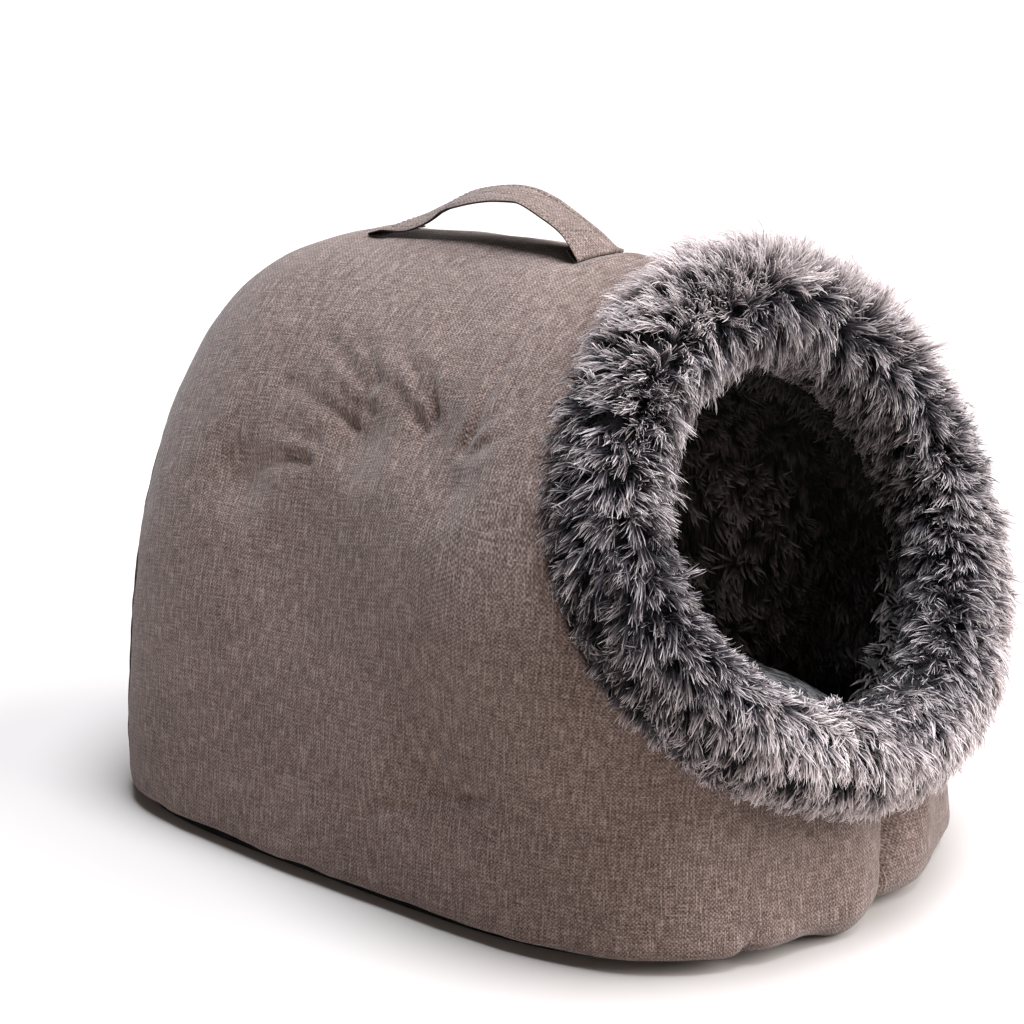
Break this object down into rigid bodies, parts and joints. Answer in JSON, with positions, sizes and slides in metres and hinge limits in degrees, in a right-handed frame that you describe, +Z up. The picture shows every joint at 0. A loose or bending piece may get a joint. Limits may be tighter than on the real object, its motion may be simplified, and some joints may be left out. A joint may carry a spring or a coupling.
{
  "type": "pet cave bed",
  "caption": "Padded, loaf-shaped pet cave bed with a slanted round mouth in a fur collar, a cushion inside and a carry strap on top.",
  "frame": {"origin": "on the underside of the base, under the middle of the padded shell between its front and its back", "axes": "+Z up; -Y towards the mouth; +X to the bed's left as it faces forward out of the mouth"},
  "size_m": [0.2939, 0.3912, 0.2854],
  "materials": {
    "melange_cloth": "matte woven linen look",
    "base_cloth": "matte black non-slip cloth",
    "plush": "long soft pile",
    "fur": "long pile, dark at the root and pale at the tip",
    "short_pile": "short smooth pile"
  },
  "bodies": {
    "root": {"base_panel": "base_cloth", "wrap_panel": "melange_cloth", "back_panel": "melange_cloth", "wall_lining": "plush", "back_lining": "plush", "cushion": "short_pile", "collar": "fur", "carry_strap": "melange_cloth"}
  },
  "joints": []
}
